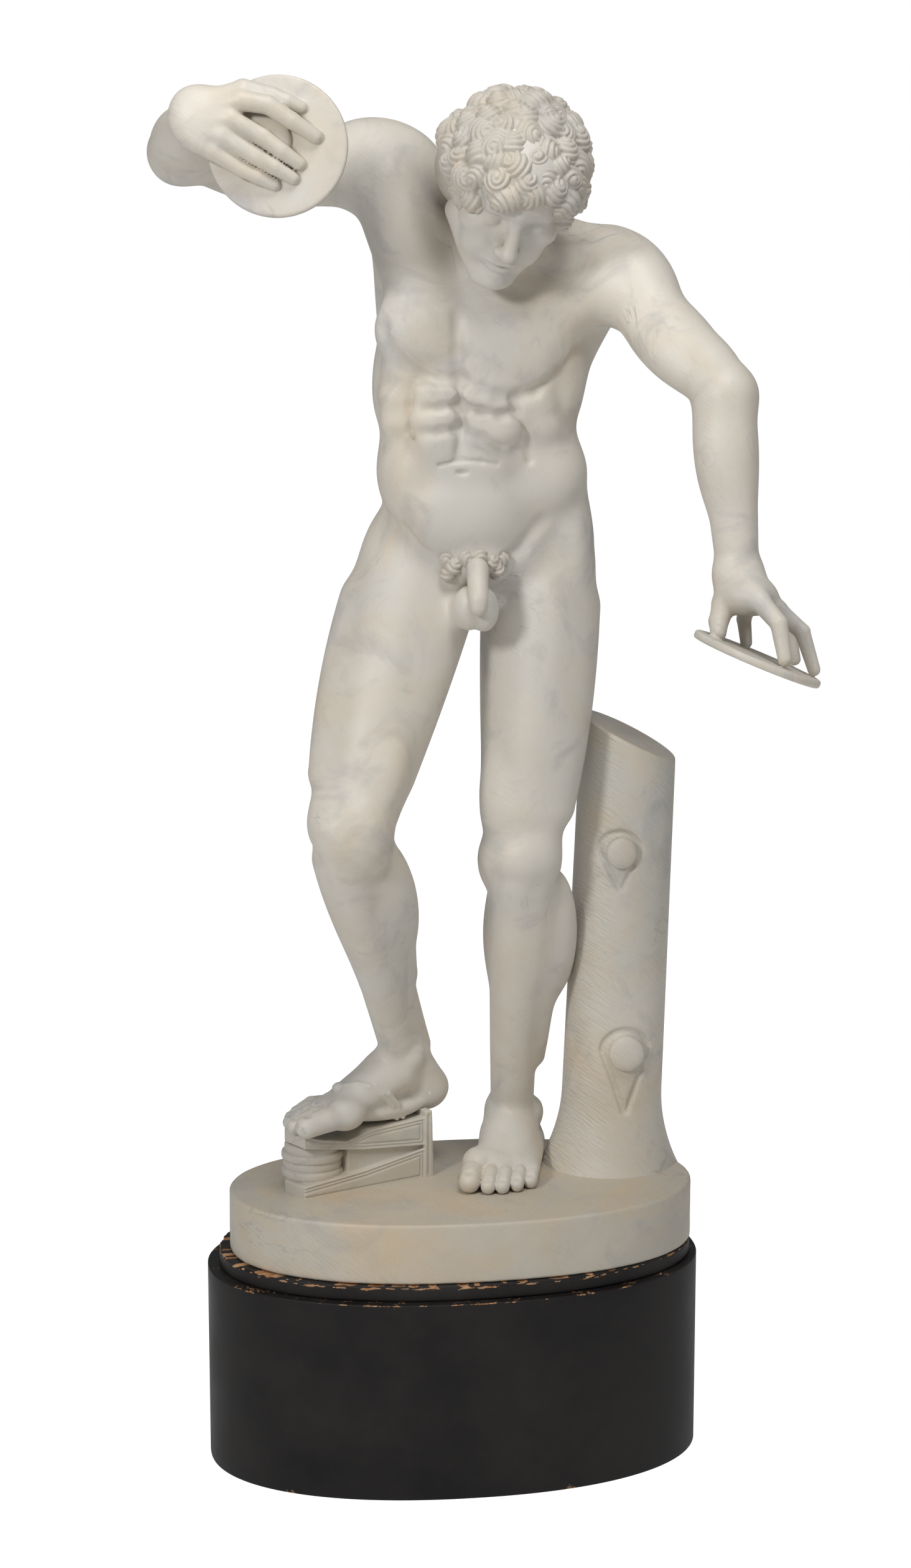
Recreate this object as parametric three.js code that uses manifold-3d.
// A classical marble statue on its pedestal.
// A nude youth dances beside a tree stump, with a round disc in each hand and one foot on a foot
// clapper, all carved from one marble block with its oval plinth. The plinth stands on a raised
// oval board on an oval drum of black-painted wood.
// Millimetres, +Z up. The origin is the middle of the drum's underside; the figure faces -Y.
import * as THREE from "three";
import { mergeVertices } from "three/addons/utils/BufferGeometryUtils.js";
import Module from "manifold-3d";

const wasm = await Module();
wasm.setup();

// ---- Pedestal and plinth ------------------------------------------------------------------
const OVAL_POWER = 2.2;         // a little fuller than an ellipse
const DRUM_HALF = [312, 188];
const DRUM_HEIGHT = 253;
const BOARD_HALF = [300, 176];
const BOARD_CENTRE = [3, 0];
const BOARD_THICK = 20;
const BOARD_ROUND = 3;
const DRUM_ROUND = 1.5;
const PLINTH_ROUND = 2;
const OVAL_SIDES = 48;
const PLINTH_HALF = [294.5, 171];
const PLINTH_CENTRE = [10, -1];
const PLINTH_THICK = 76;
const BOARD_TOP = DRUM_HEIGHT + BOARD_THICK;
const GROUND = BOARD_TOP + PLINTH_THICK;       // where the figure stands

// ---- Figure -------------------------------------------------------------------------------
const HIP_R = [-38, 38, 1122];
const KNEE_R = [-140, -128, 834];
const ANKLE_R = [-59, 40, 510];
const HIP_L = [118, 38, 1126];
const KNEE_L = [84, 0, 766];
const ANKLE_L = [91, 83, 411];
const SHOULDER_R = [-66, 26, 1597];
const ELBOW_R = [-325, 5, 1628];
const WRIST_R = [-311, -206, 1677];
const SHOULDER_L = [200, -2, 1484];
const ELBOW_L = [293, -185, 1352];
const WRIST_L = [308, -205, 1142];
const HEAD_CENTRE = [54, -116, 1604];
const HEAD_BOW = 37;            // degrees forward
const HEAD_LEAN = 14;           // degrees toward the left shoulder

// ---- What the figure holds and stands on --------------------------------------------------
const DISC_RADIUS = 79;
const DISC_THICK = 9.6;
const DISC_R_CENTRE = [-229, -222, 1637];
const DISC_R_FACES = [-0.221, -0.965, 0.141];
const DISC_L_CENTRE = [322, -250, 1051];
const DISC_L_FACES = [0.384, 0, 0.923];
const STUMP_FOOT = [212, 62];
const STUMP_HEAD = [234, 70];
const STUMP_HALF = [65, 60];
const STUMP_TALL = 640;         // before its top is cut
const STUMP_SINK = 12;          // how far it runs down into the plinth
const STUMP_TAPER = [4, 2];     // off each half width over TAPER_TALL
const TAPER_TALL = 560;
const STUMP_FLARE = [22, 26];   // on each half width at the ground, gone at FLARE_TALL
const FLARE_TALL = 95;
const STUMP_CUT = [234, 60, 905];
const STUMP_CUT_FACES = [0.44, -0.1, 0.9];
const KNOTS = [[[214, 2, 766], [21, 12, 21]], [[222, -2, 506], [23, 14, 23]]];    // middle, half widths
const CLAPPER_HEEL = [-32, 21];
const CLAPPER_LENGTH = 184;
const CLAPPER_WIDTH = 80;

// ---- Bone axes ----------------------------------------------------------------------------
const sub = (a, b) => [a[0] - b[0], a[1] - b[1], a[2] - b[2]];
const add = (a, b) => [a[0] + b[0], a[1] + b[1], a[2] + b[2]];
const scale = (a, s) => [a[0] * s, a[1] * s, a[2] * s];
const dot = (a, b) => a[0] * b[0] + a[1] * b[1] + a[2] * b[2];
const cross = (a, b) => [
  a[1] * b[2] - a[2] * b[1],
  a[2] * b[0] - a[0] * b[2],
  a[0] * b[1] - a[1] * b[0],
];
const length = (a) => Math.sqrt(dot(a, a));
const unit = (a) => scale(a, 1 / length(a));

const axes = (o, u, v, w) => ({ o, m: [unit(u), unit(v), unit(w)] });
const WHOLE = axes([0, 0, 0], [1, 0, 0], [0, 1, 0], [0, 0, 1]);
const at = (fr, q) =>
  [0, 1, 2].map((i) => fr.o[i] + q[0] * fr.m[0][i] + q[1] * fr.m[1][i] + q[2] * fr.m[2][i]);

// u points outward, v to the front of the limb, w along the bone
function bone(a, b, front, outward) {
  const w = unit(sub(b, a));
  const v = unit(sub(front, scale(w, dot(front, w))));
  let u = cross(v, w);
  if (dot(u, outward) < 0) u = scale(u, -1);
  return axes(a, u, v, w);
}

// ---- Flesh: ellipsoids and tapered cords that melt into each other -------------------------
const CUT = true;
const egg = (fr, c, r, k, cut = false) => ({ egg: true, o: at(fr, c), m: fr.m, r, k, cut });
const cord = (fr, a, b, r1, r2, k, bulge = 0, cut = false) => ({
  a: at(fr, a),
  d: sub(at(fr, b), at(fr, a)),
  r1,
  r2,
  k,
  bulge,
  cut,
});

function distance(part, p) {
  if (part.egg) {
    const q = sub(p, part.o);
    let k0 = 0;
    let k1 = 0;
    for (let i = 0; i < 3; i++) {
      const s = dot(q, part.m[i]) / part.r[i];
      k0 += s * s;
      k1 += (s / part.r[i]) ** 2;
    }
    k0 = Math.sqrt(k0);
    return (k0 * (k0 - 1)) / (Math.sqrt(k1) + 1e-9);
  }
  const q = sub(p, part.a);
  const t = Math.min(1, Math.max(0, dot(q, part.d) / dot(part.d, part.d)));
  const radius = part.r1 + (part.r2 - part.r1) * t + 4 * part.bulge * t * (1 - t);
  return length(sub(q, scale(part.d, t))) - radius;
}
function melt(a, b, k) {
  if (k <= 0) return Math.min(a, b);
  const h = Math.max(k - Math.abs(a - b), 0) / k;
  return Math.min(a, b) - h * h * k * 0.25;
}
function flesh(parts, p) {
  let f = 1000;
  for (const part of parts) {
    const d = distance(part, p);
    f = part.cut ? -melt(-f, d, part.k) : melt(f, d, part.k);
  }
  return f;
}

// ---- Trunk, neck and shoulders ------------------------------------------------------------
const T = WHOLE;                // the trunk is laid out in the part's own axes
const TRUNK = [
  egg(T, [38, 40, 1160], [126, 82, 78], 0),        // pelvis
  egg(T, [33, 22, 1262], [111, 70, 98], 50),       // waist
  egg(T, [36, 10, 1388], [124, 88, 122], 40),      // rib cage
  egg(T, [50, 8, 1478], [112, 72, 66], 36),        // top of the chest
  egg(T, [44, 46, 1462], [116, 54, 96], 36),       // shoulder blades
  egg(T, [-46, -46, 1421], [54, 39, 54], 12),      // chest muscles
  egg(T, [60, -52, 1401], [68, 41, 51], 12),
  cord(T, [-37, -34, 1440], [-82, -4, 1590], 38, 42, 20),
  cord(T, [74, -46, 1425], [176, -24, 1474], 38, 40, 24),
  cord(T, [-36, 40, 1400], [-70, 40, 1575], 42, 32, 24),
  cord(T, [112, 40, 1375], [178, 26, 1462], 56, 38, 26),
  egg(T, [-62, 10, 1345], [34, 58, 62], 20),       // flanks
  egg(T, [128, 12, 1350], [30, 56, 60], 20),
  egg(T, [3, -30, 1208], [74, 42, 62], 24),        // belly
  egg(T, [4, -40, 1268], [66, 28, 30], 20),
  egg(T, [-27, -68, 1322], [34, 20, 40], 12),      // stomach muscles
  egg(T, [34, -70, 1326], [36, 20, 36], 12),
  egg(T, [120, -6, 1248], [44, 48, 44], 28),
  egg(T, [-62, -2, 1250], [30, 51, 50], 24),
  egg(T, [20, -32, 1140], [36, 30, 26], 16),       // pubis
  egg(T, [92, 86, 1104], [62, 56, 68], 16),        // buttocks
  egg(T, [-12, 84, 1110], [62, 56, 68], 10),
  egg(T, [146, 32, 1150], [32, 54, 84], 28),       // hip points
  egg(T, [-70, 34, 1130], [34, 50, 66], 26),
  cord(T, [-5, -97, 1440], [-4, -99, 1300], 9, 8, 12, 0, CUT),
  cord(T, [52, 112, 1500], [30, 106, 1260], 10, 10, 24, 0, CUT),
  cord(T, [40, 160, 1150], [38, 160, 1060], 10, 10, 16, 0, CUT),
  cord(T, [66, 28, 1540], [182, 8, 1508], 36, 30, 26),
  cord(T, [50, 30, 1545], [-50, 30, 1600], 40, 34, 26),
];
const NECK = [
  cord(T, [64, 6, 1522], [56, -74, 1576], 54, 48, 0),
  cord(T, [34, -55, 1500], [96, -66, 1580], 14, 14, 14),
  cord(T, [22, -52, 1500], [10, -52, 1580], 13, 14, 14),
];
const LOINS = [
  cord(T, [19, -52, 1138], [17, -88, 1096], 12, 11, 0),
  egg(T, [4, -66, 1090], [17, 19, 24], 6),
  egg(T, [33, -64, 1088], [17, 19, 24], 5),
];

// ---- Legs ---------------------------------------------------------------------------------
function leg(hip, knee, ankle, thighFront, shinFront, thighOut, shinOut, build) {
  const { thick, full, calfIn, calfOut } = build;
  const th = bone(hip, knee, thighFront, thighOut);
  const sh = bone(knee, ankle, shinFront, shinOut);
  const n = length(sub(knee, hip));
  const m = length(sub(ankle, knee));
  const s = thick / 64;
  const thigh = [
    cord(th, [0, -2, 10], [0, 2, n - 10], thick, 42, 0),
    cord(th, [4, 30, 40], [0, 20, n - 70], 40 * s, 30, 22, 6),
    cord(th, [34 + full, 4, 50], [30 + full * 0.8, 6, n - 70], 40 * s, 33, 20, 6),
    egg(th, [20 + full, 8, n - 22], [26, 28, 46], 16),
    egg(th, [-28, 16, n - 78], [29, 28, 62], 16),
    cord(th, [-30, -6, 30], [-20, -10, n - 90], 42 * s, 29, 22, 4),
    cord(th, [16, -30, 20], [17, -24, n - 30], 40 * s, 22, 20, 6),
    cord(th, [-14, -30, 20], [-18, -24, n - 20], 38 * s, 20, 20, 4),
  ];
  const joint = [
    egg(sh, [0, 0, -4], [46, 38, 42], 18),
    egg(sh, [-2, 34, -8], [22, 15, 26], 9),
    egg(sh, [-2, 28, 26], [18, 13, 26], 12),
    egg(sh, [-30, 4, 8], [20, 28, 28], 12),
    egg(sh, [30, 0, 12], [18, 26, 24], 12),
  ];
  const shank = [
    cord(sh, [0, 2, 0], [-2, 2, m], 42, 27, 18, -3),
    cord(sh, [-6, 26, 30], [-6, 10, m - 30], 21, 18, 14, 5),
    egg(sh, [calfIn, -20, 112], [31, 34, 90], 14),
    egg(sh, [calfOut, -20, 116], [34, 34, 92], 12),
    cord(sh, [calfOut * 0.35 - 5, -14, 110], [calfOut * 0.35 - 7, -20, 250], 40, 26, 16, 4),
    cord(
      sh, [16 + full * 0.6, 14 + full * 0.6, 40], [6 + full * 0.3, 8 + full * 0.3, 230],
      22 + full * 0.4, 15, 14, 6,
    ),
    cord(sh, [28 + full * 0.6, -2, 40], [calfOut * 0.4 + 10, -8, 285], 20, 12, 14, 6),
    cord(sh, [-2, -24, 220], [-2, -32, m + 10], 15, 12, 12, -1),
    egg(sh, [-26, 4, m - 8], [11, 15, 16], 9),
    egg(sh, [26, -6, m + 2], [11, 14, 17], 9),
  ];
  return [...thigh, ...joint, ...shank];
}
const LEG_R = leg(
  HIP_R, KNEE_R, ANKLE_R, [-0.5, -0.85, 0.1], [-0.72, -0.68, 0], [-1, 0.3, 0], [-0.6, 0.7, 0],
  { thick: 72, full: 10, calfIn: -18, calfOut: 24 },
);
const LEG_L = leg(
  HIP_L, KNEE_L, ANKLE_L, [-0.1, -1, 0], [-0.2, -1, 0], [1, 0, 0], [1, 0, 0],
  { thick: 64, full: 0, calfIn: -14, calfOut: 40 },
);

// ---- Feet: v runs to the toes, u to the little toe, w up from the sole ---------------------
const TOES = [
  [-36, 104, 150, 15.5, 13.5],
  [-12, 105, 152, 10.5, 9.3],
  [6, 102, 148, 9.9, 9],
  [23, 95, 137, 9.4, 8.6],
  [38, 85, 121, 9.4, 8.8],
];
function foot(fr, lift, stretch, heavy) {
  const sole = [
    egg(fr, [0, -32, 28], [29, 32, 29], 0),
    cord(fr, [0, -12, 56], [-4, 30, 44 + lift], 30, 28, 20),
    cord(fr, [-10, 25, 42 + lift], [-15, 92 * stretch, 24], 27, 18, 16, 3),
    cord(fr, [8, 20, 34 + lift], [12, 88 * stretch, 21], 27, 16, 14, 3),
    cord(fr, [20, -20, 18], [30, 78, 14], 18, 14, 12, 1),
    egg(fr, [-32, 98 * stretch, 21], [21, 28, 21], 10),
    egg(fr, [0, 104 * stretch, 17], [20, 20, 15], 10),
    egg(fr, [25, 92 * stretch, 15], [18, 22, 14], 10),
    egg(fr, [-14, 30, 14], [20, 50, 14], 10),
    egg(fr, [2, 50, 8], [30, 56, 8], 8),
  ];
  return { fr, sole, stretch, heavy };
}
const soleOf = (heel, toward, outward) => {
  const v = unit(toward);
  let u = unit(cross(v, [0, 0, 1]));
  if (dot(u, outward) < 0) u = scale(u, -1);
  let w = cross(u, v);
  if (w[2] < 0) w = scale(w, -1);
  return axes(heel, u, v, w);
};
const FOOT_L = foot(soleOf([91, 83, GROUND], [-0.29, -0.957, 0], [1, 0, 0]), 0, 1, 1);
const FOOT_R = foot(
  soleOf([-57, 50, 427], [-0.891, -0.458, 0.03], [-0.4, 1, 0]), 16, 1.13, 1.08,
);

// ---- Arms ---------------------------------------------------------------------------------
function arm(shoulder, elbow, wrist, upFront, upOut, foreFront, foreOut, cap, under, elbowOut) {
  const up = bone(shoulder, elbow, upFront, upOut);
  const fo = bone(elbow, wrist, foreFront, foreOut);
  const n = length(sub(elbow, shoulder));
  const m = length(sub(wrist, elbow));
  return [
    cord(up, [0, 0, 0], [0, 0, n], 44, 32, 0),
    egg(up, [cap, 0, 22], [50, 50, 74], 20),
    egg(up, [-6, 16, n * 0.55], [32, 32, n * 0.34], 12),
    egg(up, [under, -18, n * 0.56], [42, 34, n * 0.38], 14),
    egg(up, [10, -8, n - 46], [27, 28, 52], 14),
    egg(up, [elbowOut, -12, n - 4], [31, 30, 32], 16),
    cord(fo, [0, 0, 0], [0, 0, m], 36, 24, 16, 1),
    egg(fo, [7 + elbowOut, 2, 58], [30, 32, 80], 14),
    egg(fo, [-12, 0, 62], [28, 31, 78], 14),
    egg(fo, [0, 0, m - 4], [29, 20, 26], 12),
  ];
}
const ARM_R = arm(
  SHOULDER_R, ELBOW_R, WRIST_R, [0, -1, 0.2], [0, 0, 1], [0.3, 0.2, 1], [-1, 0, 0], 20, -3, 4,
);
const ARM_L = arm(
  SHOULDER_L, ELBOW_L, WRIST_L, [-0.4, -0.9, -0.4], [1, 0, 0.5], [-0.3, -1, 0], [1, 0, 0], 8, -12, -6,
);

// ---- Discs and hands ----------------------------------------------------------------------
const flatDown = unit([DISC_L_FACES[2], 0, -DISC_L_FACES[0]]);
const faceR = unit(DISC_R_FACES);
const acrossR = unit([0.975, -0.223, 0]);
let upR = cross(faceR, acrossR);
if (upR[2] < 0) upR = scale(upR, -1);
const DISC_R = axes(DISC_R_CENTRE, acrossR, upR, faceR);
const DISC_L = axes(DISC_L_CENTRE, flatDown, [0, 1, 0], DISC_L_FACES);

// knuckle, middle joint and tip of each digit from the thumb on, in the disc's axes, and radius
const DIGITS_R = [
  [[-36, 60, 22], [-4, 54, 14], [26, 42, 7], 9.5],
  [[-38, 46, 31], [-8, 42, 26], [43, 10, 8], 10.5],
  [[-49, 26, 32], [-14, 7, 24], [25, -20, 8], 9.8],
  [[-57, 8, 30], [-21, -14, 22], [18, -36, 8], 9.5],
  [[-70, -8, 27], [-38, -27, 18], [-3, -43, 8], 9],
];
const PALM_R = [
  egg(DISC_R, [-70, 24, 27], [34, 38, 17], 0),
  egg(DISC_R, [-92, 30, 22], [28, 33, 22], 14),
  ...DIGITS_R.map(([m, , , r], i) => cord(DISC_R, [-92, 40 - 9 * i, 28], m, 13, r * 1.12, 10)),
];
const DIGITS_L = [
  [[288, -222, 1112], [279, -234, 1094], [276, -246, 1082], 12],
  [[322, -256, 1120], [338, -286, 1098], [343, -298, 1058], 10.5],
  [[347, -240, 1107], [375, -250, 1082], [388, -258, 1038], 9.5],
  [[344, -212, 1106], [370, -204, 1082], [378, -206, 1042], 8.8],
  [[320, -200, 1104], [318, -196, 1090], [318, -210, 1064], 8.8],
];
const PALM_L = [
  egg(WHOLE, [316, -226, 1122], [34, 32, 24], 0),
  egg(WHOLE, [307, -212, 1140], [28, 22, 30], 16),
  ...DIGITS_L.map(([b, , , r]) => cord(WHOLE, [306, -208, 1136], b, 15, r * 1.2, 10)),
];

// ---- Head: u to the figure's left, v out of the face, w up through the crown ---------------
const bow = THREE.MathUtils.degToRad(HEAD_BOW);
const lean = THREE.MathUtils.degToRad(HEAD_LEAN);
const gaze = unit([-0.02, -Math.cos(bow), -Math.sin(bow)]);
const crown0 = unit(sub([0, 0, 1], scale(gaze, gaze[2])));
let side0 = cross(gaze, crown0);
if (side0[0] < 0) side0 = scale(side0, -1);
const crown = add(scale(crown0, Math.cos(lean)), scale(side0, Math.sin(lean)));
const side = sub(scale(side0, Math.cos(lean)), scale(crown0, Math.sin(lean)));
const H = axes(HEAD_CENTRE, side, gaze, crown);
const HEAD = [
  egg(H, [0, -8, 10], [66, 84, 72], 0),
  egg(H, [0, 40, 16], [54, 36, 44], 18),
  egg(H, [0, 30, -42], [50, 46, 60], 20),
  cord(H, [-30, 67, -2], [30, 67, -2], 9, 9, 8, 1),
  egg(H, [-27, 80, -17], [17, 15, 10], 8, CUT),
  egg(H, [27, 80, -17], [17, 15, 10], 8, CUT),
  egg(H, [-27, 60, -18], [14, 13, 12], 3),
  egg(H, [27, 60, -18], [14, 13, 12], 3),
  cord(H, [0, 72, -6], [0, 90, -46], 8, 10, 6),
  egg(H, [-40, 46, -34], [20, 22, 16], 12),
  egg(H, [40, 46, -34], [20, 22, 16], 12),
  egg(H, [0, 74, -72], [20, 10, 10], 6),
  egg(H, [0, 66, -98], [20, 18, 16], 10),
  cord(H, [-48, 8, -58], [-14, 58, -99], 17, 15, 14),
  cord(H, [48, 8, -58], [14, 58, -99], 17, 15, 14),
];
// short thick curls set round the skull in a spiral
const HAIR_CENTRE = [3, -14, 6];
const HAIR_HALF = [82, 94, 74];
const CURLS = 90;
const CURL_RADIUS = 22;
const CURL_SEAT = 0.95;         // share of the cap's half widths at which the curls sit
const FACE_EDGE = [44, 26];     // no curls further out and lower than this, over the face
const NAPE_EDGE = -62;          // nor lower than this at the nape
const HAIR = [
  egg(H, HAIR_CENTRE, HAIR_HALF, 0),
  egg(H, [0, -40, -30], [80, 60, 60], 30),
];
for (let i = 0; i < CURLS; i++) {
  const z = 1 - (2 * (i + 0.5)) / CURLS;
  const turn = i * Math.PI * (3 - Math.sqrt(5));
  const rim = Math.sqrt(1 - z * z);
  const c = [
    HAIR_CENTRE[0] + HAIR_HALF[0] * rim * Math.cos(turn) * CURL_SEAT,
    HAIR_CENTRE[1] + HAIR_HALF[1] * rim * Math.sin(turn) * CURL_SEAT,
    HAIR_CENTRE[2] + HAIR_HALF[2] * z * CURL_SEAT,
  ];
  const onFace = c[1] > FACE_EDGE[0] && c[2] < FACE_EDGE[1];
  const underneath = c[2] < NAPE_EDGE;
  if (!onFace && !underneath) HAIR.push(egg(H, c, [CURL_RADIUS, CURL_RADIUS, CURL_RADIUS], 3));
}
HAIR.push(egg(H, [0, 92, -62], [54, 60, 66], 8, CUT));

// ---- Solids -------------------------------------------------------------------------------
function solid(geometry, matrix = new THREE.Matrix4()) {
  const g = geometry.clone();
  g.deleteAttribute("normal");
  g.deleteAttribute("uv");
  g.applyMatrix4(matrix);
  const merged = mergeVertices(g, 1e-3);
  return new wasm.Manifold(
    new wasm.Mesh({
      numProp: 3,
      vertProperties: merged.attributes.position.array,
      triVerts: new Uint32Array(merged.index.array),
    }),
  );
}
const placed = (fr) =>
  new THREE.Matrix4()
    .makeBasis(...fr.m.map((v) => new THREE.Vector3(...v)))
    .setPosition(...fr.o);
const rightHanded = (fr) =>
  dot(cross(fr.m[0], fr.m[1]), fr.m[2]) > 0 ? fr : { o: fr.o, m: [scale(fr.m[0], -1), ...fr.m.slice(1)] };

// how far out from a point on the bone the skin lies: strides out until it is passed, then halves
const LEAST_STRIDE = 1.5;
const STRIDE_SHARE = 0.7;
const HALVINGS = 12;
const THINNEST = 2;
function skin(field, from, way, reach) {
  let inside = 0;
  let outside = reach;
  for (let s = 0; s < reach; ) {
    const f = field(add(from, scale(way, s)));
    if (f > 0) {
      outside = s;
      break;
    }
    inside = s;
    s += Math.max(LEAST_STRIDE, -f * STRIDE_SHARE);
  }
  for (let i = 0; i < HALVINGS; i++) {
    const s = (inside + outside) / 2;
    if (field(add(from, scale(way, s))) > 0) outside = s;
    else inside = s;
  }
  return Math.max(THINNEST, (inside + outside) / 2);
}

// a capsule laid along a bone, each vertex moved out to the skin of that limb; given the whole
// figure, the skin follows it a little way where the limb melts into its neighbours; an end that
// lies inside the next limb is drawn in by the share "buried"
const FOLLOW_SHARE = 1.08;
const FOLLOW_MORE = 4;
function wrap(a, b, parts, whole, rounds, rows, caps, reach = 260, buried = [0, 0]) {
  const n = Math.max(length(sub(b, a)), 1e-3);
  const g = new THREE.CapsuleGeometry(1, n, caps, rounds, rows);
  const w = unit(sub(b, a));
  const helper = Math.abs(w[2]) < 0.9 ? [0, 0, 1] : [1, 0, 0];
  const u = unit(cross(helper, w));
  const v = cross(w, u);
  const pos = g.attributes.position;
  for (let i = 0; i < pos.count; i++) {
    const y = pos.getY(i);
    const along = Math.min(n / 2, Math.max(-n / 2, y));
    const from = add(a, scale(w, along + n / 2));
    const way = unit(add(add(scale(u, pos.getZ(i)), scale(v, pos.getX(i))), scale(w, y - along)));
    const own = skin((p) => flesh(parts, p), from, way, reach);
    let r = own;
    if (whole) r = Math.min(skin(whole, from, way, reach), own * FOLLOW_SHARE + FOLLOW_MORE);
    const past = y - along;
    r *= 1 - Math.abs(past) * buried[past > 0 ? 1 : 0];
    const p = add(from, scale(way, r));
    pos.setXYZ(i, p[0], p[1], p[2]);
  }
  return solid(g);
}

// a plain tapered digit, and how a finger thickens at the knuckle and thins to the tip
const KNUCKLE = 1.12;
const FINGERTIP = 0.8;
function digit(fr, a, b, r1, r2, rounds = 6) {
  const p = at(fr, a);
  const q = at(fr, b);
  return wrap(p, q, [cord(WHOLE, p, q, r1, r2, 0)], null, rounds, 1, 1, 60);
}

const GROUPS = [
  [TRUNK, 0],
  [NECK, 20],
  [LEG_R, 24],
  [LEG_L, 14],
  [FOOT_R.sole, 14],
  [FOOT_L.sole, 14],
  [ARM_R, 26],
  [ARM_L, 24],
  [PALM_R, 14],
  [PALM_L, 10],
  [HEAD, 12],
];
const wholeFigure = (p) => GROUPS.reduce((f, [parts, k]) => melt(f, flesh(parts, p), k), 1000);

const bits = [];
// the trunk's skin also takes in what the shoulders, hips and neck melt into
bits.push(wrap([40, 40, 1130], [44, 14, 1480], TRUNK, wholeFigure, 26, 16, 5));
bits.push(wrap([64, 14, 1510], [56, -80, 1580], NECK, null, 12, 2, 2, 260, [0.2, 0.3]));
bits.push(wrap([20, -40, 1136], [18, -70, 1104], LOINS, null, 10, 2, 2, 60));
bits.push(wrap(HIP_R, KNEE_R, LEG_R, null, 14, 9, 3, 260, [0.3, 0.1]));
bits.push(wrap(KNEE_R, ANKLE_R, LEG_R, null, 12, 9, 3, 260, [0.4, 0.1]));
bits.push(wrap(HIP_L, KNEE_L, LEG_L, null, 14, 9, 3, 260, [0.3, 0.1]));
bits.push(wrap(KNEE_L, ANKLE_L, LEG_L, null, 12, 9, 3, 260, [0.4, 0.1]));
for (const f of [FOOT_R, FOOT_L]) {
  bits.push(wrap(at(f.fr, [0, -24, 32]), at(f.fr, [0, 84 * f.stretch, 17]), f.sole, null, 12, 5, 3));
  TOES.forEach(([u, near, far, r1, r2], i) => {
    const v0 = near * f.stretch;
    const v1 = far * f.stretch;
    const lift = i ? 6 : 0;
    const [root, tip] = [r1 * f.heavy, r2 * f.heavy];
    bits.push(digit(f.fr, [u * 0.94, v0 - 8, root + 3 + lift], [u, v1, tip], root, tip, 7));
  });
}
bits.push(wrap(SHOULDER_R, ELBOW_R, ARM_R, null, 12, 7, 3, 260, [0, 0.05]));
bits.push(wrap(ELBOW_R, WRIST_R, ARM_R, null, 10, 5, 2, 260, [0.5, 0.1]));
bits.push(wrap(SHOULDER_L, ELBOW_L, ARM_L, null, 12, 7, 3, 260, [0, 0.05]));
bits.push(wrap(ELBOW_L, WRIST_L, ARM_L, null, 10, 5, 2, 260, [0.5, 0.1]));
bits.push(wrap(at(DISC_R, [-94, 28, 26]), at(DISC_R, [-60, 24, 27]), PALM_R, null, 10, 2, 3, 70));
bits.push(wrap([307, -210, 1142], [322, -230, 1118], PALM_L, null, 10, 2, 3, 70));
for (const [fr, digits] of [[DISC_R, DIGITS_R], [WHOLE, DIGITS_L]]) {
  for (const [m, p, t, r] of digits) {
    bits.push(digit(fr, m, p, r * KNUCKLE, r));
    bits.push(digit(fr, p, t, r, r * FINGERTIP));
  }
}
const headCore = wrap(at(H, [0, 4, -4]), at(H, [0, 24, -50]), HEAD, null, 18, 4, 5, 140);
const hairCore = wrap(at(H, [0, -16, 0]), at(H, [0, -14, 4]), HAIR, null, 22, 1, 8, 150);
bits.push(headCore, hairCore);
for (const fr of [DISC_R, DISC_L]) {
  const g = new THREE.CylinderGeometry(DISC_RADIUS, DISC_RADIUS, DISC_THICK, 32, 1);
  g.rotateX(Math.PI / 2);
  bits.push(solid(g, placed(rightHanded(fr))));
}

// ---- Tree stump ---------------------------------------------------------------------------
const stump = new THREE.CylinderGeometry(1, 1, STUMP_TALL, 18, 9);
stump.rotateX(Math.PI / 2);
{
  const pos = stump.attributes.position;
  for (let i = 0; i < pos.count; i++) {
    const z = pos.getZ(i) + STUMP_TALL / 2 - STUMP_SINK;
    const t = Math.max(0, Math.min(1, z / TAPER_TALL));
    const flare = Math.max(0, 1 - Math.max(z, 0) / FLARE_TALL) ** 2;
    pos.setXYZ(
      i,
      STUMP_FOOT[0] + (STUMP_HEAD[0] - STUMP_FOOT[0]) * t
        + pos.getX(i) * (STUMP_HALF[0] - STUMP_TAPER[0] * t + STUMP_FLARE[0] * flare),
      STUMP_FOOT[1] + (STUMP_HEAD[1] - STUMP_FOOT[1]) * t
        + pos.getY(i) * (STUMP_HALF[1] - STUMP_TAPER[1] * t + STUMP_FLARE[1] * flare),
      GROUND + z,
    );
  }
}
const CUT_WIDE = 300;
const CUT_TALL = 200;
const cutBlock = new THREE.BoxGeometry(CUT_WIDE, CUT_WIDE, CUT_TALL);
cutBlock.translate(0, 0, CUT_TALL / 2);
const cutAcross = cross([0, 1, 0], STUMP_CUT_FACES);
const cutAxes = axes(STUMP_CUT, cutAcross, cross(STUMP_CUT_FACES, cutAcross), STUMP_CUT_FACES);
bits.push(solid(stump).subtract(solid(cutBlock, placed(cutAxes))));
for (const [knot, half] of KNOTS) {
  const ends = [add(knot, [0, 4, 0]), add(knot, [0, 4, -10])];
  bits.push(wrap(...ends, [egg(WHOLE, knot, half, 0)], null, 12, 1, 2, 60));
}

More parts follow.
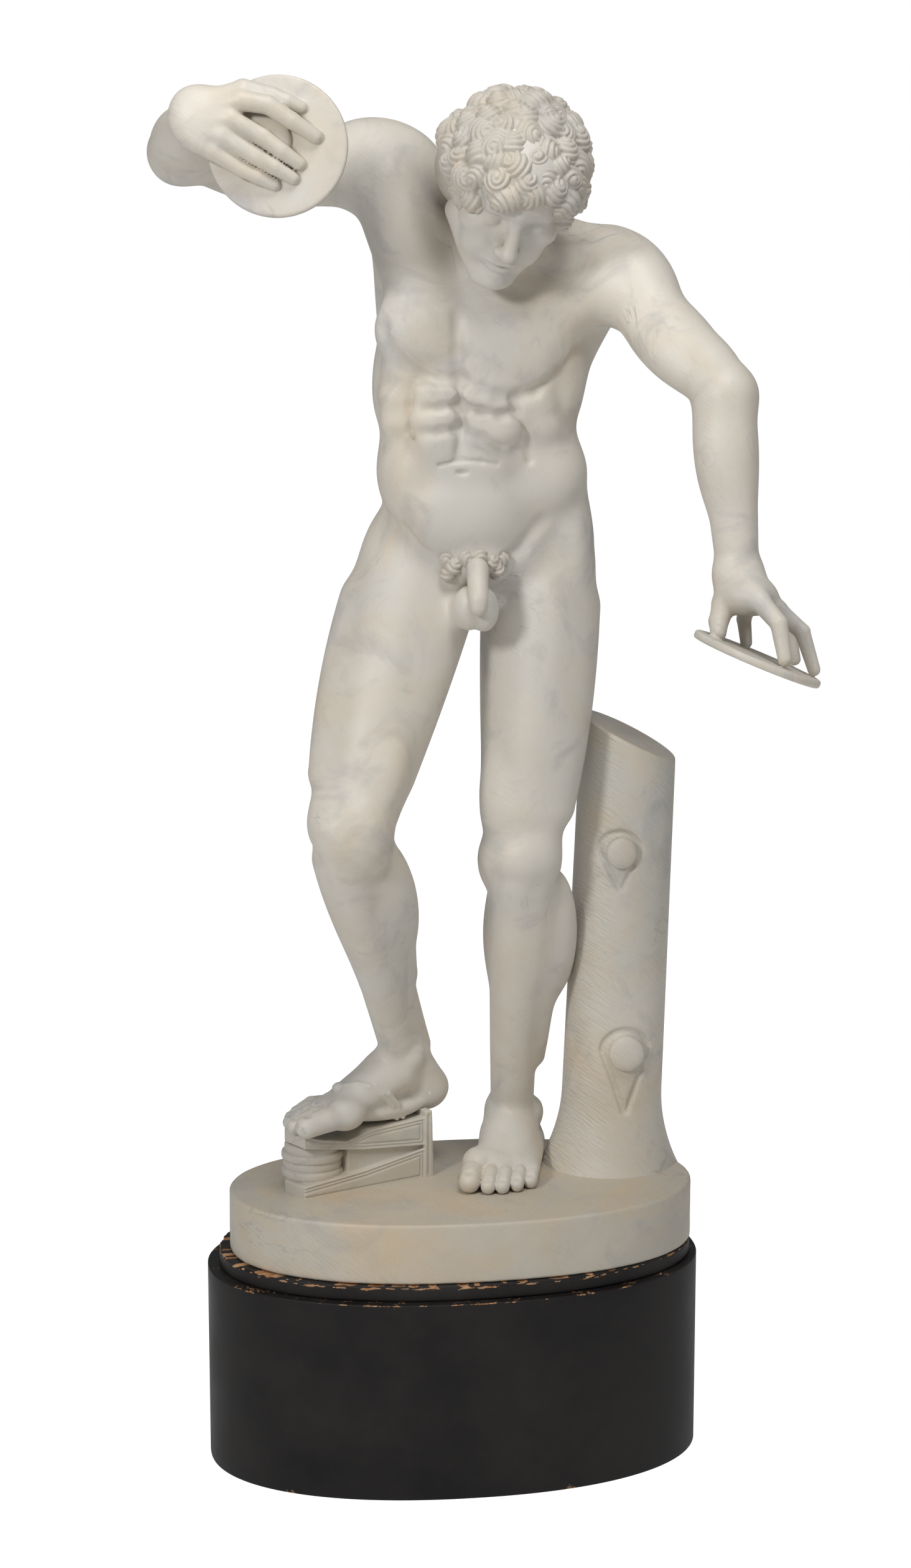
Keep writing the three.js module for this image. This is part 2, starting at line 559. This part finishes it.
// ---- Foot clapper: two boards, a hinge post at the heel and a round stack at the toes ------
// side profiles as [distance from the heel, height over the ground], drawn out across the width
const SINK = -6;
const LOWER_BOARD = [[0, SINK], [CLAPPER_LENGTH, SINK], [CLAPPER_LENGTH, 15], [90, 23], [0, 37]];
const UPPER_BOARD = [
  [0, 41], [90, 50], [CLAPPER_LENGTH, 66], [CLAPPER_LENGTH, 84], [150, 72], [115, 68], [79, 74],
  [0, 78],
];
const BETWEEN = [[0, 30], [110, 16], [110, 58], [0, 46]];
const HEEL_POST = [[-12, SINK], [3, SINK], [1, 86], [-9, 86]];
const BETWEEN_INSET = 8;
const STACK = [[39, 22], [37, 33], [39, 44], [35, 55]];    // radius and height of each round
const STACK_AT = 142;
const STACK_THICK = 13;
const STACK_TAPER = 3;
const UPPER_INSET = 0.5;
const along = unit([-0.915, -0.403, 0]);
const across = unit([-0.403, 0.915, 0]);
const heelOfClapper = [CLAPPER_HEEL[0], CLAPPER_HEEL[1], GROUND];
function drawnAcross(profile, inset) {
  const shape = new THREE.Shape(profile.map(([s, z]) => new THREE.Vector2(s, z)));
  const wide = CLAPPER_WIDTH - 2 * inset;
  const g = new THREE.ExtrudeGeometry(shape, { depth: wide, bevelEnabled: false, curveSegments: 1 });
  const start = add(heelOfClapper, scale(across, inset));
  return solid(g, placed(axes(start, along, [0, 0, 1], across)));
}
bits.push(drawnAcross(LOWER_BOARD, 0), drawnAcross(UPPER_BOARD, UPPER_INSET));
bits.push(drawnAcross(BETWEEN, BETWEEN_INSET), drawnAcross(HEEL_POST, 0));
for (const [r, z] of STACK) {
  const g = new THREE.CylinderGeometry(r, r - STACK_TAPER, STACK_THICK, 18, 1);
  g.rotateX(Math.PI / 2);
  const middle = add(add(heelOfClapper, scale(along, STACK_AT)), scale(across, CLAPPER_WIDTH / 2));
  bits.push(solid(g, placed(axes(add(middle, [0, 0, z]), scale(along, -1), across, [0, 0, 1]))));
}

// ---- Oval pieces --------------------------------------------------------------------------
function ovalShape([a, b]) {
  const shape = new THREE.Shape();
  for (let i = 0; i < OVAL_SIDES; i++) {
    const t = (i / OVAL_SIDES) * Math.PI * 2;
    const x = a * Math.sign(Math.cos(t)) * Math.abs(Math.cos(t)) ** (2 / OVAL_POWER);
    const y = b * Math.sign(Math.sin(t)) * Math.abs(Math.sin(t)) ** (2 / OVAL_POWER);
    if (i) shape.lineTo(x, y);
    else shape.moveTo(x, y);
  }
  shape.closePath();
  return shape;
}
function oval(half, centre, z0, thick, round) {
  const inset = [half[0] - round, half[1] - round];
  const g = new THREE.ExtrudeGeometry(ovalShape(inset), {
    depth: thick - 2 * round,
    bevelEnabled: round > 0,
    bevelThickness: round,
    bevelSize: round,
    bevelSegments: 1,
    curveSegments: 1,
  });
  g.translate(centre[0], centre[1], z0 + round);
  return solid(g);
}
bits.push(oval(PLINTH_HALF, PLINTH_CENTRE, BOARD_TOP, PLINTH_THICK, PLINTH_ROUND));

function toGeometry(made) {
  const mesh = made.getMesh();
  const n = mesh.numProp;
  const xyz = new Float32Array(mesh.numVert * 3);
  for (let i = 0; i < mesh.numVert; i++) {
    xyz.set(mesh.vertProperties.subarray(i * n, i * n + 3), i * 3);
  }
  const g = new THREE.BufferGeometry();
  g.setAttribute("position", new THREE.BufferAttribute(xyz, 3));
  g.setIndex(new THREE.BufferAttribute(new Uint32Array(mesh.triVerts), 1));
  g.computeVertexNormals();
  return g;
}

const marble = new THREE.MeshStandardMaterial({ color: 0xdcd8cf, roughness: 0.5 });
const boardPaint = new THREE.MeshStandardMaterial({ color: 0x17171a, roughness: 0.45 });
const drumPaint = new THREE.MeshStandardMaterial({ color: 0x141416, roughness: 0.5 });

let carved = bits[0];
for (const bit of bits.slice(1)) carved = carved.add(bit);

const statue = new THREE.Mesh(toGeometry(carved), marble);
statue.name = "statue";
const board = new THREE.Mesh(
  toGeometry(oval(BOARD_HALF, BOARD_CENTRE, DRUM_HEIGHT, BOARD_THICK, BOARD_ROUND)), boardPaint,
);
board.name = "pedestal_board";
const drum = new THREE.Mesh(
  toGeometry(oval(DRUM_HALF, [0, 0], 0, DRUM_HEIGHT, DRUM_ROUND)), drumPaint,
);
drum.name = "pedestal_drum";

const group = new THREE.Group();
group.name = "classical_marble_statue";
group.add(statue, board, drum);
export default group;
